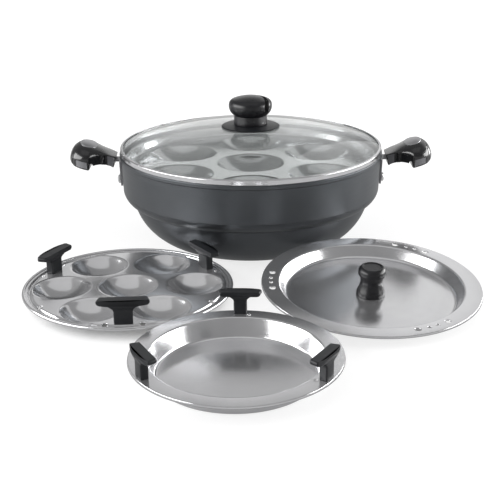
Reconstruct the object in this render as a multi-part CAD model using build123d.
from build123d import *
import os
from math import asin, atan, cos, degrees, hypot, radians, sin, sqrt

os.makedirs("parts", exist_ok=True)

# Idli steamer set, in millimetres: a kadai with its glass lid and its large idli plate inside,
# and beside it the small idli plate, the dhokla plate and the steamer plate of the same set.
# The origin is the centre of the kadai's flat base, +Z is up and -Y is the side the user faces.

# Clearances shared by all pieces
seat_gap = 0.3
shank_gap = 0.2
overrun = 2.0

# Kadai: a spun hard anodised bowl with a step half way up and a collar at the rim
rim_outer_r = 139.5
rim_wall = 2.8
body_height = 96.7
body_wall = 3.0
base_inset = 58.0
step_inset = 12.4
step_drop = 51.0
step_groove = 0.9
bowl_bulge = 9.3
waist_inset = 2.5
waist_drop = 39.7
shoulder_bulge = 2.2
collar_width = 1.2
collar_drop = 4.5
ledge_drop = 8.0

# Side handles: a riveted steel bracket whose tab enters a moulded grip
bracket_thickness = 2.0
bracket_width = 34.0
bracket_foot_drop = 35.2
bracket_top_drop = 9.3
tab_width = 14.0
tab_reach = 16.0
rivet_r = 2.2
rivet_head_r = 4.6
rivet_head_height = 3.0
rivet_spacing = 20.0
rivet_drop = 29.4
grip_standoff = 4.1
grip_length = 48.4
grip_half_width = 26.0
grip_neck_half_width = 10.5
grip_throat_half_width = 19.0
grip_neck_drop = 8.0
grip_neck_height = 12.4
grip_neck_slant = 3.0
grip_neck_arch = 5.0
grip_crown_rise = 14.2
grip_crown_setback = 13.5
grip_crown_round = 22.0
grip_crown_tilt = 13.0
grip_hook_depth = 25.4
grip_hook_round = 5.0
grip_hook_slant = 0.4
grip_hook_rise = 4.2
grip_end_drop = 13.6
finger_gap_width = 2.6
finger_gap_setback = 23.4
finger_gap_depth = 7.8
grip_edge_round = 1.6
grip_corner_round = 18.0
grip_swell_round = 5.0
medallion_length = 27.0
medallion_width = 18.0
medallion_thickness = 2.6
medallion_setback = 19.7
medallion_drop = 2.4
panel_depth = 1.2
panel_height = 6.0
neck_panel_length = 8.5
hook_panel_length = 9.5
grip_screw_r = 2.0
grip_screw_head_r = 3.6
grip_screw_head_height = 2.0
grip_screw_length = 8.0
grip_screw_setback = 8.5

# Lid: a glass dome gripped by a steel band, with a moulded knob on a thin shield
band_inset = 0.9
band_sheet = 0.7
band_lip = 2.6
band_skirt_depth = 3.4
band_skirt_gap = 0.8
glass_thickness = 3.0
dome_rise = 21.3
glass_hole_r = 5.0
shield_r = 31.0
shield_edge = 1.2
shield_rise = 1.4
shield_round = 0.8
knob_neck_r = 17.7
knob_neck_height = 10.0
knob_head_r = 22.8
knob_flank_height = 10.4
knob_flank_bulge = 1.6
knob_crown_height = 9.4
knob_shoulder_r = 6.5
knob_slot_width = 3.0
knob_slot_r = 40.0
knob_slot_depth = 17.0
knob_slot_offset = 9.7
knob_slot_heading = 58.0
gasket_r = 12.0
gasket_thickness = 1.5
washer_r = 10.0
washer_thickness = 1.2
lid_screw_r = 2.5
lid_screw_head_r = 4.6
lid_screw_head_height = 2.6
lid_screw_chamfer = 0.9
lid_screw_grip = 14.0

# Pressed steel plates, all of one sheet
sheet = 1.0
steam_hole_r = 2.5

# Large idli plate, which hangs on the kadai's inner ledge
large_rim_gap = 0.4
large_flange = 4.6
large_lip_slope = 4.2
large_deck_drop = 9.0
large_cup_margin = 6.0
large_cup_land = 15.0
large_cup_depth = 15.0
large_cup_turn = 30.0
large_hole_inset = 12.5

# Small idli plate, at the left
small_plate_bearing = -32.38
small_plate_gap = 7.5
small_rim_r = 97.8
small_bead_r = 1.7
small_groove_width = 3.4
small_groove_depth = 1.6
small_groove_land = 2.2
small_cup_margin = 8.9
small_cup_land = 7.6
small_cup_depth = 13.2
small_cup_turn = 3.4
small_hole_inset = 9.8
stand_inset = 13.4
stand_turn = 33.4
stand_hole_offset = 10.5

# Moulded stands of the small idli plate
stand_bar_length = 45.5
stand_bar_width = 9.6
stand_bar_thickness = 5.0
stand_stem_width = 16.2
stand_stem_depth = 7.0
stand_height = 21.5

# Dhokla plate, at the front
dhokla_left_gap = 0.3
dhokla_right_gap = 1.9
dhokla_rim_r = 86.5
dhokla_depth = 18.0
dhokla_flange = 15.4
dhokla_wall_slope = 4.4
dhokla_edge_drop = 2.2
dhokla_handle_inset = 5.8
dhokla_handle_turn = 88.1
dhokla_bar_length = 37.0
dhokla_bar_width = 9.0
dhokla_bar_thickness = 4.6
dhokla_stem_width = 11.4
dhokla_stem_depth = 7.0
dhokla_handle_height = 21.0
dhokla_panel_width = 6.8
dhokla_panel_height = 6.0
dhokla_panel_depth = 0.8
dhokla_hole_offset = -6.0
dhokla_hole_setback = 4.6
dhokla_hole_r = 1.8

# Steamer plate, at the right: it leans with its far edge against the kadai
steamer_rim_r = 101.6
steamer_flange = 16.4
steamer_depth = 12.5
steamer_wall_slope = 5.4
steamer_edge_drop = 2.2
steamer_bearing = 29.9
steamer_lean_heading = 21.0
steamer_lean = 4.6
steamer_rest_gap = 0.5
steamer_hole_inset = 9.1
steamer_hole_groups = 3
steamer_hole_turn = 38.0
steamer_hole_wide_r = 2.8
steamer_hole_narrow_r = 1.8
steamer_hole_wide_spread = 10.0
steamer_hole_narrow_spread = 2.8

# Knob of the steamer plate
spool_foot_r = 13.2
spool_foot_edge = 3.2
spool_foot_height = 9.0
spool_neck_r = 9.9
spool_neck_waist = 1.0
spool_head_r = 12.9
spool_head_height = 10.0
spool_head_round = 2.8
spool_height = 28.0
spool_dish_depth = 0.8
spool_dish_r = 9.0

# Screws that hold the moulded pieces to the plates
plate_screw_r = 2.0
plate_screw_head_r = 3.8
plate_screw_head_height = 1.8
plate_screw_grip = 9.0

# Shares: how far in from its corner a quarter arc's middle lies, where the grip's top passes
# on its way up to the crown, and how a moulded T rounds its ends and blends into its stem
quarter_middle_share = 1 - sqrt(1 / 2)
grip_rise_shares = (0.5, 0.52)
tee_shares = {"blend": 0.8, "tip": 0.5}

# Layout counts
outer_cups = 6
cups_across = 3
stands = 3

# Heights and radii that follow from the sizes above: first those of the kadai
full_turn = 360
drill_length = sheet * 4
base_r = rim_outer_r - base_inset
step_r = rim_outer_r - step_inset
step_z = body_height - step_drop
waist_r = rim_outer_r - waist_inset
waist_z = body_height - waist_drop
collar_z = body_height - collar_drop
rim_inner_r = rim_outer_r - rim_wall
ledge_z = body_height - ledge_drop
collar_wall_r = rim_outer_r - collar_width
inner_wall_r = collar_wall_r - body_wall

# Those of the side handles
bracket_foot_z = body_height - bracket_foot_drop
bracket_top_z = body_height - bracket_top_drop
rivet_z = body_height - rivet_drop
grip_inner_r = rim_outer_r + grip_standoff
grip_outer_r = grip_inner_r + grip_length
grip_neck_z = bracket_top_z - grip_neck_drop
grip_neck_top_z = grip_neck_z + grip_neck_height
grip_crown_z = grip_neck_top_z + grip_crown_rise
grip_crown_r = grip_outer_r - grip_crown_setback
grip_hook_z = grip_crown_z - grip_hook_depth
grip_end_z = grip_crown_z - grip_end_drop
finger_gap_r = grip_inner_r + finger_gap_setback
finger_roof_z = grip_neck_z + finger_gap_depth
hook_wall_r = finger_gap_r + finger_gap_width
medallion_r = grip_outer_r - medallion_setback
medallion_z = grip_crown_z - medallion_drop

# Those of the lid and the plates, whose seven cups share the deck's width
lid_seat_z = body_height
band_outer_r = rim_outer_r - band_inset
large_rim_r = rim_inner_r - large_rim_gap
large_deck_r = large_rim_r - large_flange - large_lip_slope
large_deck_z = ledge_z + sheet - large_deck_drop
large_cup_r = (large_deck_r - large_cup_margin - large_cup_land) / cups_across
large_cup_pitch = large_cup_r * 2 + large_cup_land
small_deck_z = small_cup_depth + sheet
small_cup_r = (small_rim_r - small_cup_margin - small_cup_land) / cups_across
small_cup_pitch = small_cup_r * 2 + small_cup_land
stand_r = small_rim_r - stand_inset
stand_seat_z = small_deck_z
dhokla_handle_r = dhokla_rim_r - dhokla_handle_inset
dhokla_seat_z = dhokla_depth


def arc_centre(start, end, bulge):
    """Centre and radius of the arc from start to end that stands bulge off its chord, to its right."""
    half = hypot(end[0] - start[0], end[1] - start[1]) / 2
    radius = (half**2 + bulge**2) / (2 * bulge)
    along = ((end[0] - start[0]) / (2 * half), (end[1] - start[1]) / (2 * half))
    middle = ((start[0] + end[0]) / 2, (start[1] + end[1]) / 2)
    inward = radius - bulge
    return (middle[0] - along[1] * inward, middle[1] + along[0] * inward), radius


def towards(point, centre, depth):
    """The point moved by depth towards the centre."""
    span = hypot(centre[0] - point[0], centre[1] - point[1])
    return (
        point[0] + (centre[0] - point[0]) * depth / span,
        point[1] + (centre[1] - point[1]) * depth / span,
    )


def arc_middle(start, end, centre, radius):
    """The point half way along the arc round centre from start to end."""
    middle = ((start[0] + end[0]) / 2, (start[1] + end[1]) / 2)
    span = hypot(middle[0] - centre[0], middle[1] - centre[1])
    return (
        centre[0] + (middle[0] - centre[0]) * radius / span,
        centre[1] + (middle[1] - centre[1]) * radius / span,
    )


def face_on(plane, edges):
    """The face inside a closed run of edges, carried from XY to the plane."""
    return plane * make_face(edges)


def turned(edges):
    """The solid that a closed half section makes when it turns once about Z."""
    return revolve(face_on(Plane.XZ, edges), axis=Axis.Z)


def turned_polygon(points):
    """The solid of revolution with straight sides through the points (radius, height)."""
    return turned(Polyline(*points, close=True).edges())


def place(shape, spot, z=0, turn=0):
    """The shape turned about Z and then moved to the spot (x, y) at height z."""
    return Pos(spot[0], spot[1], z) * Rot(0, 0, turn) * shape


def spot_at(bearing, distance):
    """The point (x, y) at a distance from the kadai's axis, on a bearing from -Y towards +X."""
    return (distance * sin(radians(bearing)), -distance * cos(radians(bearing)))


def spot_between(left, left_reach, right, right_reach):
    """The point in front of two spots that lies at the given reach from each."""
    apart = hypot(right[0] - left[0], right[1] - left[1])
    across = ((right[0] - left[0]) / apart, (right[1] - left[1]) / apart)
    along = (apart**2 + left_reach**2 - right_reach**2) / (2 * apart)
    ahead = sqrt(left_reach**2 - along**2)
    return (left[0] + across[0] * along + across[1] * ahead, left[1] + across[1] * along - across[0] * ahead)


def ring_of(count, start, radius):
    """Places (x, y, angle) spaced evenly on a circle."""
    return [
        (radius * cos(radians(angle)), radius * sin(radians(angle)), angle)
        for angle in (start + full_turn * i / count for i in range(count))
    ]


def export(shape, node):
    """One STEP file for one named piece."""
    export_step(shape, f"parts/{node}.step")


# Kadai body

bowl_foot = (base_r, 0)
bowl_top = (step_r - step_groove, step_z - step_groove)
bowl_centre, bowl_round = arc_centre(bowl_foot, bowl_top, bowl_bulge)
shoulder_foot = (step_r, step_z)
shoulder_top = (waist_r, waist_z)
shoulder_centre, shoulder_round = arc_centre(shoulder_foot, shoulder_top, shoulder_bulge)


def bowl_outer_r(z):
    """Outer radius of the bowl's round below the step, at height z."""
    return bowl_centre[0] + sqrt(bowl_round**2 - (bowl_centre[1] - z)**2)


def wall_outer_r(z):
    """Outer radius of the straight wall above the shoulder, at height z."""
    return waist_r + (collar_wall_r - waist_r) * (z - waist_z) / (collar_z - waist_z)


def kadai_body():
    inner_round = bowl_round - body_wall
    floor_r = bowl_centre[0] + sqrt(inner_round**2 - (bowl_centre[1] - body_wall)**2)
    inner_foot = (floor_r, body_wall)
    inner_top = towards(bowl_top, bowl_centre, body_wall)
    inner_shoulder_foot = towards(shoulder_foot, shoulder_centre, body_wall)
    inner_shoulder_top = towards(shoulder_top, shoulder_centre, body_wall)
    outer = Line((0, 0), bowl_foot).edges()
    outer += ThreePointArc(
        bowl_foot, arc_middle(bowl_foot, bowl_top, bowl_centre, bowl_round), bowl_top
    ).edges()
    outer += Line(bowl_top, shoulder_foot).edges()
    outer += ThreePointArc(
        shoulder_foot,
        arc_middle(shoulder_foot, shoulder_top, shoulder_centre, shoulder_round),
        shoulder_top,
    ).edges()
    outer += Polyline(
        shoulder_top,
        (collar_wall_r, collar_z),
        (rim_outer_r, collar_z + collar_width / 2),
        (rim_outer_r, body_height),
        (rim_inner_r, body_height),
        (rim_inner_r, ledge_z),
        (inner_wall_r, ledge_z),
        inner_shoulder_top,
    ).edges()
    inner = ThreePointArc(
        inner_shoulder_top,
        arc_middle(
            inner_shoulder_foot, inner_shoulder_top, shoulder_centre, shoulder_round - body_wall
        ),
        inner_shoulder_foot,
    ).edges()
    inner += Line(inner_shoulder_foot, inner_top).edges()
    inner += ThreePointArc(
        inner_top, arc_middle(inner_foot, inner_top, bowl_centre, inner_round), inner_foot
    ).edges()
    inner += Polyline(inner_foot, (0, body_wall), (0, 0)).edges()
    body = turned(outer + inner)
    for hole in rivet_holes():
        body -= hole
        body -= mirror(hole, about=Plane.YZ)
    return body


# Side handles, drawn for the right side and mirrored for the left

def rivet_places():
    """Turns about Z that put the two rivets on the round wall."""
    swing = degrees(asin(rivet_spacing / 2 / wall_outer_r(rivet_z)))
    return [Rot(0, 0, swing), Rot(0, 0, -swing)]


def rivet_holes():
    """Radial holes for the rivet shanks."""
    drill_rod = Cylinder(rivet_r + shank_gap, bracket_width, rotation=(0, 90, 0))
    return [turn * Pos(wall_outer_r(rivet_z), 0, rivet_z) * drill_rod for turn in rivet_places()]


def bracket():
    foot_r = wall_outer_r(bracket_foot_z) + seat_gap
    top_r = wall_outer_r(bracket_top_z) + seat_gap
    leg_ring = turned_polygon([
        (foot_r, bracket_foot_z),
        (foot_r + bracket_thickness, bracket_foot_z),
        (top_r + bracket_thickness, bracket_top_z),
        (top_r, bracket_top_z),
    ])
    leg_slice = Box(
        rim_outer_r * 2, bracket_width, body_height, align=(Align.MIN, Align.CENTER, Align.MIN)
    )
    strap = leg_ring & leg_slice
    tab_start = sqrt(top_r**2 - (tab_width / 2)**2)
    tab_length = grip_inner_r + tab_reach - tab_start
    tab = Box(
        tab_length, tab_width, bracket_thickness, align=(Align.MIN, Align.CENTER, Align.MAX)
    )
    tab = Pos(tab_start, 0, bracket_top_z) * tab
    tab -= Cylinder(top_r, body_height, align=(Align.CENTER, Align.CENTER, Align.MIN))
    strap += tab
    for hole in rivet_holes():
        strap -= hole
    tab_hole = Cylinder(grip_screw_r + shank_gap, bracket_width)
    return strap - Pos(grip_inner_r + grip_screw_setback, 0, bracket_top_z) * tab_hole


def bracket_rivets():
    """Two rivets, each with a domed head outside and a flat head inside the wall."""
    inner_face = wall_outer_r(rivet_z) - body_wall
    head_start = wall_outer_r(rivet_z) + seat_gap * 2 + bracket_thickness
    shank_start = inner_face - rivet_head_height / 2
    dome_start = head_start + rivet_head_height / 2
    dome_high = rivet_head_height / 2
    dome_ball = (rivet_head_r**2 + dome_high**2) / (2 * dome_high)
    dome_mid_r = rivet_head_r / 2
    dome_mid = dome_start + dome_high - dome_ball + sqrt(dome_ball**2 - dome_mid_r**2)
    profile = Polyline(
        (0, dome_start + dome_high),
        (0, shank_start),
        (rivet_head_r, shank_start),
        (rivet_head_r, inner_face - seat_gap),
        (rivet_r, inner_face - seat_gap),
        (rivet_r, head_start),
        (rivet_head_r, head_start),
        (rivet_head_r, dome_start),
    ).edges()
    profile += ThreePointArc(
        (rivet_head_r, dome_start), (dome_mid_r, dome_mid), (0, dome_start + dome_high)
    ).edges()
    rivet = Pos(0, 0, rivet_z) * Rot(0, 90, 0) * turned(profile)
    return [turn * rivet for turn in rivet_places()]


def grip_side_outline():
    """Outline of the grip seen along Y: neck, crowned top, upright end, hook and finger gap."""
    rise = (
        grip_inner_r + (grip_crown_r - grip_inner_r) * grip_rise_shares[0],
        grip_neck_top_z + (grip_crown_z - grip_neck_top_z) * grip_rise_shares[1],
    )
    hook_end_z = grip_hook_z + grip_hook_rise
    hook_corner = (grip_outer_r - grip_hook_round, hook_end_z + grip_hook_round)
    arch_start = (finger_gap_r, grip_neck_z + grip_neck_arch)
    arch_end = (grip_inner_r + grip_neck_slant, grip_neck_z)
    arch_top = ((arch_start[0] + arch_end[0]) / 2, grip_neck_z + grip_neck_arch)
    outline = Spline(
        (grip_inner_r, grip_neck_top_z),
        rise,
        (grip_crown_r, grip_crown_z),
        (grip_outer_r, grip_end_z),
        tangents=[(grip_crown_r - grip_inner_r, grip_neck_arch), (0, -grip_end_z)],
    ).edges()
    outline += Line((grip_outer_r, grip_end_z), (grip_outer_r, hook_corner[1])).edges()
    outline += ThreePointArc(
        (grip_outer_r, hook_corner[1]),
        (
            grip_outer_r - grip_hook_round * quarter_middle_share,
            hook_end_z + grip_hook_round * quarter_middle_share,
        ),
        (hook_corner[0], hook_end_z),
    ).edges()
    outline += Polyline(
        (hook_corner[0], hook_end_z),
        (hook_wall_r + grip_hook_slant + grip_edge_round, grip_hook_z),
        (hook_wall_r + grip_hook_slant, grip_hook_z + grip_edge_round),
        (hook_wall_r, finger_roof_z),
        (finger_gap_r, finger_roof_z),
        arch_start,
    ).edges()
    outline += ThreePointArc(arch_start, arch_top, arch_end).edges()
    outline += Line(arch_end, (grip_inner_r, grip_neck_top_z)).edges()
    return outline


def grip_plan_post():
    """The grip's outline from above, as an upright post: the neck widens outwards and swells
    to the crown."""
    plan = make_face(
        Polyline(
            (grip_inner_r - overrun, -grip_neck_half_width),
            (finger_gap_r, -grip_throat_half_width),
            (hook_wall_r + grip_hook_slant, -grip_half_width),
            (grip_outer_r + overrun, -grip_half_width),
            (grip_outer_r + overrun, grip_half_width),
            (hook_wall_r + grip_hook_slant, grip_half_width),
            (finger_gap_r, grip_throat_half_width),
            (grip_inner_r - overrun, grip_neck_half_width),
            close=True,
        ).edges()
    )
    post = extrude(plan, grip_crown_z + overrun)
    uprights = post.edges().filter_by(Axis.Z).sort_by(Axis.X)
    corner_room = grip_outer_r - hook_wall_r - grip_hook_slant
    post = fillet(uprights[-2:], min(grip_corner_round, corner_room))
    swells = post.edges().filter_by(Axis.Z).sort_by(Axis.X)[2:6]
    return fillet(swells, grip_swell_round)


def grip_front_prism():
    """The grip's outline seen along X, extruded: an upright block with a rounded crown."""
    width = grip_half_width * 2
    block = Box(grip_outer_r * 2, width, grip_crown_z, align=(Align.CENTER, Align.CENTER, Align.MIN))
    crown_edges = block.edges().filter_by(Axis.X).sort_by(Axis.Z)[-2:]
    return fillet(crown_edges, grip_crown_round)


def grip():
    side_face = face_on(Plane.XZ, grip_side_outline())
    block = extrude(side_face, grip_half_width, both=True)
    block = block & grip_plan_post() & grip_front_prism()
    return block - grip_pockets()


def grip_pockets():
    """Tab socket, screw hole, medallion seat and the moulded panels on both side faces."""
    tab_low_z = bracket_top_z - bracket_thickness
    cuts = Pos(grip_inner_r + tab_reach / 2, 0, tab_low_z + bracket_thickness / 2) * Box(
        tab_reach + seat_gap * 2, tab_width + seat_gap * 2, bracket_thickness + seat_gap * 2
    )
    screw_x = grip_inner_r + grip_screw_setback
    upwards = (Align.CENTER, Align.CENTER, Align.MIN)
    shank = Cylinder(grip_screw_r + shank_gap, grip_screw_length + seat_gap, align=upwards)
    head_well = Cylinder(grip_screw_head_r + shank_gap, tab_low_z, align=upwards)
    cuts += Pos(screw_x, 0, tab_low_z - grip_screw_head_height) * shank
    cuts += Pos(screw_x, 0, 0) * head_well
    cuts += medallion_place() * extrude(medallion_oval(seat_gap), medallion_thickness + overrun)
    neck_panel = Box(neck_panel_length, panel_depth * 2, panel_height)
    hook_panel = Box(hook_panel_length, panel_depth * 2, panel_height)
    neck_panel_r = grip_inner_r + grip_neck_slant + neck_panel_length / 2 + grip_edge_round
    neck_panel_z = grip_neck_z + grip_neck_height / 2
    neck_slope = (grip_throat_half_width - grip_neck_half_width) / (finger_gap_r - grip_inner_r)
    neck_panel_y = grip_neck_half_width + neck_slope * (neck_panel_r - grip_inner_r)
    neck_turn = degrees(atan(neck_slope))
    hook_panel_r = hook_wall_r + grip_hook_slant * 2 + hook_panel_length / 2
    hook_panel_z = grip_hook_z + grip_edge_round + panel_height / 2
    for side in (1, -1):
        neck_side = Pos(neck_panel_r, side * neck_panel_y, neck_panel_z) * Rot(0, 0, side * neck_turn)
        cuts += neck_side * neck_panel
        cuts += Pos(hook_panel_r, side * grip_half_width, hook_panel_z) * hook_panel
    return cuts


def medallion_place():
    """The medallion's seat: on the crown, tilted with its rise towards the pan."""
    return Pos(medallion_r, 0, medallion_z) * Rot(0, -grip_crown_tilt, 0) * Pos(
        0, 0, -medallion_thickness
    )


def medallion_oval(margin):
    """An oval, longer along the rim, grown by margin all round."""
    return Ellipse(medallion_width / 2 + margin, medallion_length / 2 + margin)


def medallion():
    """The bare oval plate, clear of its seat all round."""
    plate = extrude(medallion_oval(0), medallion_thickness - seat_gap)
    return medallion_place() * Pos(0, 0, seat_gap) * plate


def grip_screw():
    """Screw from below through the bracket's tab into the grip."""
    tab_low_z = bracket_top_z - bracket_thickness
    head = Cylinder(
        grip_screw_head_r, grip_screw_head_height, align=(Align.CENTER, Align.CENTER, Align.MAX)
    )
    shank = Cylinder(grip_screw_r, grip_screw_length, align=(Align.CENTER, Align.CENTER, Align.MIN))
    screw = Pos(0, 0, -seat_gap) * head + Pos(0, 0, -grip_screw_head_height) * shank
    return Pos(grip_inner_r + grip_screw_setback, 0, tab_low_z) * screw


def export_handles():
    pieces = {
        "handle_bracket": [bracket()],
        "bracket_rivets": bracket_rivets(),
        "handle_grip": [grip()],
        "handle_medallion": [medallion()],
        "handle_screw": [grip_screw()],
    }
    for name, solids in pieces.items():
        export(Compound(children=list(solids)), "right_" + name)
        export(Compound(children=[mirror(s, about=Plane.YZ) for s in solids]), "left_" + name)


# Lid

glass_edge_r = band_outer_r - band_sheet - seat_gap
glass_low_z = lid_seat_z + band_sheet + seat_gap
dome_round = (glass_edge_r**2 + dome_rise**2) / (2 * dome_rise)
dome_centre_z = glass_low_z + dome_rise - dome_round
glass_apex_z = glass_low_z + dome_rise + glass_thickness


def dome_top_z(r):
    """Height of the glass's outer surface at radius r."""
    return dome_centre_z + sqrt((dome_round + glass_thickness)**2 - r**2)


def dome_low_z(r):
    """Height of the glass's inner surface at radius r."""
    return dome_centre_z + sqrt(dome_round**2 - r**2)


def lid_glass():
    outer_edge = (glass_edge_r, dome_top_z(glass_edge_r))
    outer_hole = (glass_hole_r, dome_top_z(glass_hole_r))
    inner_edge = (glass_edge_r, dome_low_z(glass_edge_r))
    inner_hole = (glass_hole_r, dome_low_z(glass_hole_r))
    middle_r = glass_edge_r / 2
    profile = Line(inner_edge, outer_edge).edges()
    profile += ThreePointArc(outer_edge, (middle_r, dome_top_z(middle_r)), outer_hole).edges()
    profile += Line(outer_hole, inner_hole).edges()
    profile += ThreePointArc(inner_hole, (middle_r, dome_low_z(middle_r)), inner_edge).edges()
    return turned(profile)


def lid_rim_band():
    """A rolled steel band: a channel round the glass edge and a skirt that drops inside the rim."""
    lip_r = band_outer_r - band_lip
    skirt_outer_r = rim_inner_r - band_skirt_gap
    skirt_inner_r = skirt_outer_r - band_sheet
    wall_r = band_outer_r - band_sheet
    lip_low_z = dome_top_z(lip_r) + seat_gap
    edge_top_z = dome_top_z(glass_edge_r) + seat_gap
    return turned_polygon([
        (band_outer_r, lid_seat_z),
        (band_outer_r, edge_top_z),
        (wall_r, edge_top_z + band_sheet),
        (lip_r, lip_low_z + band_sheet),
        (lip_r, lip_low_z),
        (wall_r, edge_top_z),
        (wall_r, lid_seat_z + band_sheet),
        (skirt_inner_r, lid_seat_z + band_sheet),
        (skirt_inner_r, lid_seat_z - band_skirt_depth),
        (skirt_outer_r, lid_seat_z - band_skirt_depth),
        (skirt_outer_r, lid_seat_z),
    ])


shield_low_z = dome_top_z(shield_r) + seat_gap
shield_top_z = shield_low_z + shield_edge + shield_rise
gasket_low_z = dome_top_z(glass_hole_r)
knob_neck_z = shield_top_z + seat_gap
knob_head_low_z = knob_neck_z + knob_neck_height
knob_wide_z = knob_head_low_z + knob_flank_height
knob_top_z = knob_wide_z + knob_crown_height
knob_screw_top_z = gasket_low_z + lid_screw_grip


def lid_knob_shield():
    """The thin disc under the knob, hollow below where the gasket sits."""
    hollow_r = gasket_r + seat_gap
    hollow_z = gasket_low_z + gasket_thickness + seat_gap
    under_r = (shield_r + hollow_r) / 2
    edge_top_z = shield_low_z + shield_edge
    return turned_polygon([
        (lid_screw_r + shank_gap, hollow_z),
        (hollow_r, hollow_z),
        (hollow_r, dome_top_z(hollow_r) + seat_gap),
        (under_r, dome_top_z(under_r) + seat_gap),
        (shield_r, shield_low_z),
        (shield_r, edge_top_z - shield_round / 2),
        (shield_r - shield_round, edge_top_z),
        (knob_neck_r, shield_top_z),
        (lid_screw_r + shank_gap, shield_top_z),
    ])


def knob_crown_arcs():
    """The round shoulder and the flat dome of the knob's head, tangent to each other."""
    shoulder_x = knob_head_r - knob_shoulder_r
    dome_r = (knob_head_r**2 + knob_crown_height**2 - knob_head_r * knob_shoulder_r * 2) / (
        (knob_crown_height - knob_shoulder_r) * 2
    )
    dome_z = knob_top_z - dome_r
    lean = (knob_wide_z - dome_z) / (dome_r - knob_shoulder_r)
    aside = shoulder_x / (dome_r - knob_shoulder_r)
    joint = (shoulder_x + knob_shoulder_r * aside, knob_wide_z + knob_shoulder_r * lean)
    middle = arc_middle((knob_head_r, knob_wide_z), joint, (shoulder_x, knob_wide_z), knob_shoulder_r)
    half_joint_r = joint[0] / 2
    arcs = ThreePointArc((knob_head_r, knob_wide_z), middle, joint).edges()
    arcs += ThreePointArc(
        joint, (half_joint_r, dome_z + sqrt(dome_r**2 - half_joint_r**2)), (0, knob_top_z)
    ).edges()
    return arcs


def knob_slot():
    """The curved slot that parts the head's far right side from the rest."""
    low_z = knob_top_z - knob_slot_depth
    upwards = (Align.CENTER, Align.CENTER, Align.MIN)
    ring = Cylinder(knob_slot_r + knob_slot_width, knob_top_z, align=upwards)
    ring -= Cylinder(knob_slot_r, knob_top_z, align=upwards)
    reach = knob_slot_r - knob_slot_offset
    heading = radians(knob_slot_heading)
    return Pos(-reach * cos(heading), -reach * sin(heading), low_z) * ring


def lid_knob():
    """Neck and bulbous head with a curved slot cut through its far right side."""
    neck_end = (knob_neck_r, knob_head_low_z)
    flank_centre, flank_round = arc_centre(neck_end, (knob_head_r, knob_wide_z), knob_flank_bulge)
    bore_r = lid_screw_r + shank_gap
    bore_top_z = knob_screw_top_z + seat_gap
    profile = Polyline(
        (0, knob_top_z), (0, bore_top_z), (bore_r, bore_top_z), (bore_r, knob_neck_z),
        (knob_neck_r, knob_neck_z), neck_end,
    ).edges()
    profile += ThreePointArc(
        neck_end,
        arc_middle(neck_end, (knob_head_r, knob_wide_z), flank_centre, flank_round),
        (knob_head_r, knob_wide_z),
    ).edges()
    return turned(profile + knob_crown_arcs()) - knob_slot()


def lid_knob_gasket():
    """Soft washer between the glass and the shield."""
    return turned_polygon([
        (lid_screw_r + shank_gap, gasket_low_z),
        (gasket_r, gasket_low_z),
        (gasket_r, gasket_low_z + gasket_thickness),
        (lid_screw_r + shank_gap, gasket_low_z + gasket_thickness),
    ])


def lid_knob_washer():
    """Steel washer under the glass."""
    top_z = dome_low_z(washer_r) - seat_gap
    return turned_polygon([
        (lid_screw_r + shank_gap, top_z - washer_thickness),
        (washer_r, top_z - washer_thickness),
        (washer_r, top_z),
        (lid_screw_r + shank_gap, top_z),
    ])


def lid_knob_screw():
    head_top_z = dome_low_z(washer_r) - seat_gap - washer_thickness
    return turned_polygon([
        (0, head_top_z - lid_screw_head_height),
        (lid_screw_head_r - lid_screw_chamfer, head_top_z - lid_screw_head_height),
        (lid_screw_head_r, head_top_z - lid_screw_head_height + lid_screw_chamfer),
        (lid_screw_head_r, head_top_z),
        (lid_screw_r, head_top_z),
        (lid_screw_r, knob_screw_top_z),
        (0, knob_screw_top_z),
    ])


# Idli plates

def cap(rim_r, depth, top_z):
    """A solid spherical cap, rim_r wide at top_z and depth deep."""
    middle_r = rim_r / 2
    ball_r = (rim_r**2 + depth**2) / (2 * depth)
    ball_z = top_z - depth + ball_r
    profile = ThreePointArc(
        (0, top_z - depth), (middle_r, ball_z - sqrt(ball_r**2 - middle_r**2)), (rim_r, top_z)
    ).edges()
    profile += Polyline((rim_r, top_z), (0, top_z), (0, top_z - depth)).edges()
    return turned(profile)


def cup_places(pitch, turn):
    """The centre cup and the ring of outer cups."""
    return [(0, 0, 0)] + ring_of(outer_cups, turn, pitch)


def press_cups(plate, cup_r, depth, top_z, places):
    """Presses round cups of the sheet's thickness into a flat deck."""
    ball_r = (cup_r**2 + depth**2) / (2 * depth)
    outer_cup_r = sqrt((ball_r + sheet)**2 - (ball_r - depth)**2)
    outer_cup = cap(outer_cup_r, depth + sheet, top_z)
    inner_cup = cap(cup_r, depth, top_z)
    for x, y, _ in places:
        plate += Pos(x, y, 0) * outer_cup
    for x, y, _ in places:
        plate -= Pos(x, y, 0) * inner_cup
    return plate


def drill(plate, places, radius, top_z):
    """Round holes through the plate near top_z."""
    for x, y, _ in places:
        plate -= Pos(x, y, top_z) * Cylinder(radius, drill_length)
    return plate


def large_idli_plate():
    flange_z = ledge_z
    deck_top = large_deck_z
    lip_top_r = large_rim_r - large_flange
    plate = turned_polygon([
        (0, deck_top - sheet),
        (large_deck_r, deck_top - sheet),
        (lip_top_r + sheet, flange_z),
        (large_rim_r, flange_z),
        (large_rim_r, flange_z + sheet),
        (lip_top_r, flange_z + sheet),
        (large_deck_r - sheet, deck_top),
        (0, deck_top),
    ])
    cups = cup_places(large_cup_pitch, large_cup_turn)
    plate = press_cups(plate, large_cup_r, large_cup_depth, deck_top, cups)
    hole_ring_r = large_deck_r - large_hole_inset
    holes = ring_of(outer_cups, large_cup_turn + full_turn / outer_cups / 2, hole_ring_r)
    return drill(plate, holes, steam_hole_r, deck_top)


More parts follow.
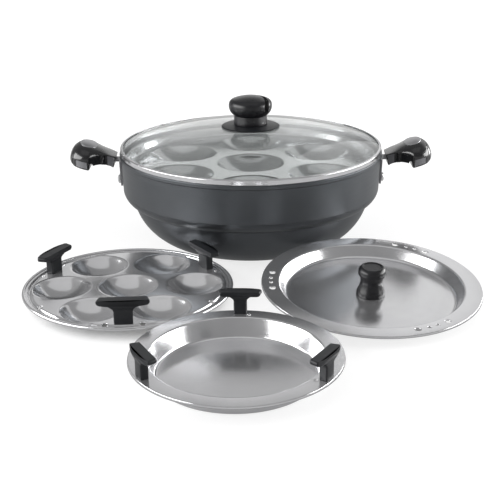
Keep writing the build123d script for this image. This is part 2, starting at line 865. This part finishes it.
def small_plate_spot():
    """Where the small plate lies: clear of the bowl's round by a gap, at the bead's height."""
    bead_top_z = small_deck_z - sheet / 2 + small_bead_r
    return spot_at(small_plate_bearing, bowl_outer_r(bead_top_z) + small_plate_gap + small_rim_r)


def small_idli_plate():
    deck_top = small_deck_z
    bead_centre_r = small_rim_r - small_bead_r
    land_r = bead_centre_r - small_bead_r
    groove_out_r = land_r - small_groove_land
    groove_in_r = groove_out_r - small_groove_width
    groove_z = deck_top - small_groove_depth
    slope = small_groove_depth / 2
    plate = turned_polygon([
        (0, deck_top - sheet),
        (groove_in_r, deck_top - sheet),
        (groove_in_r + slope, groove_z - sheet),
        (groove_out_r, groove_z - sheet),
        (groove_out_r + slope, deck_top - sheet),
        (bead_centre_r, deck_top - sheet),
        (bead_centre_r, deck_top),
        (groove_out_r, deck_top),
        (groove_out_r - slope, groove_z),
        (groove_in_r + slope, groove_z),
        (groove_in_r, deck_top),
        (0, deck_top),
    ])
    bead = Pos(bead_centre_r, deck_top - sheet / 2) * Circle(small_bead_r)
    plate += revolve(Plane.XZ * bead, axis=Axis.Z)
    plate = press_cups(
        plate, small_cup_r, small_cup_depth, deck_top, cup_places(small_cup_pitch, small_cup_turn)
    )
    hole_ring_r = small_rim_r - small_hole_inset
    holes = ring_of(stands, stand_turn - stand_hole_offset, hole_ring_r)
    holes += ring_of(stands, stand_turn + stand_hole_offset, hole_ring_r)
    holes += ring_of(stands, stand_turn + full_turn / stands / 2, hole_ring_r)
    plate = drill(plate, holes, steam_hole_r, deck_top)
    plate = drill(
        plate, ring_of(stands, stand_turn, stand_r), plate_screw_r + shank_gap, deck_top
    )
    return place(plate, small_plate_spot())


def tee_half_outline(side, half_bar, half_stem, bar_thickness, height):
    """Half of a T's outline from its foot's middle to its top's middle, on the side of that sign."""
    blend = bar_thickness * tee_shares["blend"]
    tip = bar_thickness * tee_shares["tip"]
    under_z = height - bar_thickness
    outline = Polyline((0, 0), (side * half_stem, 0), (side * half_stem, under_z - blend)).edges()
    outline += ThreePointArc(
        (side * half_stem, under_z - blend),
        (side * (half_stem + blend * quarter_middle_share), under_z - blend * quarter_middle_share),
        (side * (half_stem + blend), under_z),
    ).edges()
    outline += Line(
        (side * (half_stem + blend), under_z), (side * (half_bar - tip), height - tip * 2)
    ).edges()
    outline += ThreePointArc(
        (side * (half_bar - tip), height - tip * 2),
        (side * half_bar, height - tip),
        (side * (half_bar - tip), height),
    ).edges()
    outline += Line((side * (half_bar - tip), height), (0, height)).edges()
    return outline


def tee(bar_length, bar_width, bar_thickness, stem_width, stem_depth, height, seat_r):
    """A moulded T that stands on a plate at radius seat_r along +X and follows the plate's round."""
    upwards = (Align.CENTER, Align.CENTER, Align.MIN)
    outline = tee_half_outline(1, bar_length / 2, stem_width / 2, bar_thickness, height)
    outline += tee_half_outline(-1, bar_length / 2, stem_width / 2, bar_thickness, height)
    form = extrude(face_on(Plane.YZ.offset(seat_r), outline), bar_length, both=True)
    bar_ring = Cylinder(seat_r + bar_width / 2, height, align=upwards)
    bar_ring -= Cylinder(seat_r - bar_width / 2, height, align=upwards)
    stem_high = height - bar_thickness - bar_thickness * tee_shares["blend"]
    outer_trim = Cylinder(seat_r + bar_width, stem_high, align=upwards)
    outer_trim -= Cylinder(seat_r + stem_depth / 2, stem_high, align=upwards)
    inner_trim = Cylinder(seat_r - stem_depth / 2, stem_high, align=upwards)
    bore = Cylinder(plate_screw_r + shank_gap, plate_screw_grip - sheet, align=upwards)
    return (form & bar_ring) - outer_trim - inner_trim - Pos(seat_r, 0, 0) * bore


def plate_screw():
    """A screw whose head lies under the sheet, drawn with the seat's top face at height 0."""
    head_top = -sheet - seat_gap / 2
    head = Cylinder(
        plate_screw_head_r, plate_screw_head_height, align=(Align.CENTER, Align.CENTER, Align.MAX)
    )
    shank = Cylinder(
        plate_screw_r, plate_screw_grip - seat_gap, align=(Align.CENTER, Align.CENTER, Align.MIN)
    )
    return Pos(0, 0, head_top) * (head + shank)


def export_idli_stands():
    stand = tee(
        stand_bar_length,
        stand_bar_width,
        stand_bar_thickness,
        stand_stem_width,
        stand_stem_depth,
        stand_height,
        stand_r,
    )
    names = ("right", "left", "front")
    seats = ring_of(stands, stand_turn, stand_r)
    spot = small_plate_spot()
    for name, (_, _, angle) in zip(names, seats):
        export(place(stand, spot, stand_seat_z, angle), f"idli_stand_{name}")
    screws = [place(Pos(x, y, 0) * plate_screw(), spot, stand_seat_z) for x, y, _ in seats]
    export(Compound(children=screws), "idli_stand_screws")


# Dhokla plate

def dish(rim_r, flange, depth, wall_slope, edge_drop):
    """A round flat dish with a flat flange and a turned down edge, standing on height 0."""
    recess_r = rim_r - flange
    floor_r = recess_r - wall_slope
    return turned_polygon([
        (0, 0),
        (floor_r, 0),
        (recess_r + sheet, depth - sheet),
        (rim_r - sheet, depth - sheet),
        (rim_r - sheet, depth - edge_drop),
        (rim_r, depth - edge_drop),
        (rim_r, depth - sheet / 2),
        (rim_r - sheet / 2, depth),
        (recess_r, depth),
        (floor_r - sheet, sheet),
        (0, sheet),
    ])


def dhokla_seats():
    return ring_of(stands, dhokla_handle_turn, dhokla_handle_r)


def dhokla_spot():
    """Where the dhokla plate lies: in front, a small gap from each of the plates behind it."""
    small_reach = small_rim_r + dhokla_rim_r + dhokla_left_gap
    steamer_reach = steamer_rim_r + dhokla_rim_r + dhokla_right_gap
    return spot_between(small_plate_spot(), small_reach, steamer_spot(), steamer_reach)


def dhokla_plate():
    plate = dish(dhokla_rim_r, dhokla_flange, dhokla_depth, dhokla_wall_slope, dhokla_edge_drop)
    plate = drill(plate, dhokla_seats(), plate_screw_r + shank_gap, dhokla_seat_z)
    beside = ring_of(
        stands, dhokla_handle_turn + dhokla_hole_offset, dhokla_handle_r - dhokla_hole_setback
    )
    plate = drill(plate, beside, dhokla_hole_r, dhokla_seat_z)
    return place(plate, dhokla_spot())


def export_dhokla_handles():
    handle = tee(
        dhokla_bar_length,
        dhokla_bar_width,
        dhokla_bar_thickness,
        dhokla_stem_width,
        dhokla_stem_depth,
        dhokla_handle_height,
        dhokla_handle_r,
    )
    panel = Box(dhokla_panel_depth * 2, dhokla_panel_width, dhokla_panel_height)
    panel_z = dhokla_bar_thickness + dhokla_panel_height / 2
    handle -= Pos(dhokla_handle_r + dhokla_stem_depth / 2, 0, panel_z) * panel
    names = ("back", "left", "right")
    spot = dhokla_spot()
    for name, (_, _, angle) in zip(names, dhokla_seats()):
        export(place(handle, spot, dhokla_seat_z, angle), f"dhokla_handle_{name}")
    screws = [place(Pos(x, y, 0) * plate_screw(), spot, dhokla_seat_z) for x, y, _ in dhokla_seats()]
    export(Compound(children=screws), "dhokla_handle_screws")


# Steamer plate, drawn level and then leaned against the kadai

steamer_floor_r = steamer_rim_r - steamer_flange - steamer_wall_slope
steamer_low_z = steamer_floor_r * sin(radians(steamer_lean))


def steamer_spot():
    """Where the leaning plate's middle lies: its far edge rests clear of the bowl by the rest gap."""
    lean = radians(steamer_lean)
    aside = cos(radians(steamer_bearing - steamer_lean_heading))
    edge_z = steamer_low_z + steamer_depth * cos(lean) + steamer_rim_r * sin(lean) * aside
    edge_reach = steamer_rim_r * cos(lean) - steamer_depth * sin(lean) * aside
    return spot_at(steamer_bearing, bowl_outer_r(edge_z) + steamer_rest_gap + edge_reach)


def steamer_plate():
    plate = dish(
        steamer_rim_r, steamer_flange, steamer_depth, steamer_wall_slope, steamer_edge_drop
    )
    for i in range(steamer_hole_groups):
        centre = steamer_hole_turn + full_turn * i / steamer_hole_groups
        for spread, radius in (
            (steamer_hole_wide_spread, steamer_hole_wide_r),
            (steamer_hole_narrow_spread, steamer_hole_narrow_r),
        ):
            for angle in (centre - spread, centre + spread):
                spot = ring_of(1, angle, steamer_rim_r - steamer_hole_inset)
                plate = drill(plate, spot, radius, steamer_depth)
    return drill(plate, [(0, 0, 0)], plate_screw_r + shank_gap, sheet / 2)


def steamer_knob():
    """A spool: flared foot, narrow neck and a round head with a shallow dish on top."""
    bore_r = plate_screw_r + shank_gap
    neck_r = spool_neck_r + spool_neck_waist
    head_low = spool_height - spool_head_height
    rim_round = spool_head_round
    profile = Polyline(
        (0, plate_screw_grip),
        (bore_r, plate_screw_grip),
        (bore_r, 0),
        (spool_foot_r, 0),
        (spool_foot_r, spool_foot_edge),
        (neck_r, spool_foot_height),
    ).edges()
    profile += ThreePointArc(
        (neck_r, spool_foot_height),
        (spool_neck_r, (spool_foot_height + head_low) / 2),
        (neck_r, head_low),
    ).edges()
    profile += Polyline(
        (neck_r, head_low),
        (spool_head_r, head_low + rim_round),
        (spool_head_r, spool_height - rim_round),
    ).edges()
    profile += ThreePointArc(
        (spool_head_r, spool_height - rim_round),
        (
            spool_head_r - rim_round * quarter_middle_share,
            spool_height - rim_round * quarter_middle_share,
        ),
        (spool_head_r - rim_round, spool_height),
    ).edges()
    profile += Polyline(
        (spool_head_r - rim_round, spool_height),
        (spool_dish_r, spool_height),
        (spool_dish_r - spool_dish_depth, spool_height - spool_dish_depth),
        (0, spool_height - spool_dish_depth),
        (0, plate_screw_grip),
    ).edges()
    return Pos(0, 0, sheet) * turned(profile)


def leaned(shape):
    """A level piece of the steamer leaned: its floor's low corner on the ground, its edge near the bowl."""
    return place(Rot(steamer_lean, 0, 0) * shape, steamer_spot(), steamer_low_z, steamer_lean_heading)


def export_steamer():
    export(leaned(steamer_plate()), "steamer_plate")
    export(leaned(steamer_knob()), "steamer_knob")
    export(leaned(Pos(0, 0, sheet) * plate_screw()), "steamer_knob_screw")


export(kadai_body(), "kadai_body")
export_handles()
export(lid_glass(), "lid_glass")
export(lid_rim_band(), "lid_rim_band")
export(lid_knob_shield(), "lid_knob_shield")
export(lid_knob(), "lid_knob")
export(lid_knob_gasket(), "lid_knob_gasket")
export(lid_knob_washer(), "lid_knob_washer")
export(lid_knob_screw(), "lid_knob_screw")
export(large_idli_plate(), "large_idli_plate")
export(small_idli_plate(), "small_idli_plate")
export_idli_stands()
export(dhokla_plate(), "dhokla_plate")
export_dhokla_handles()
export_steamer()
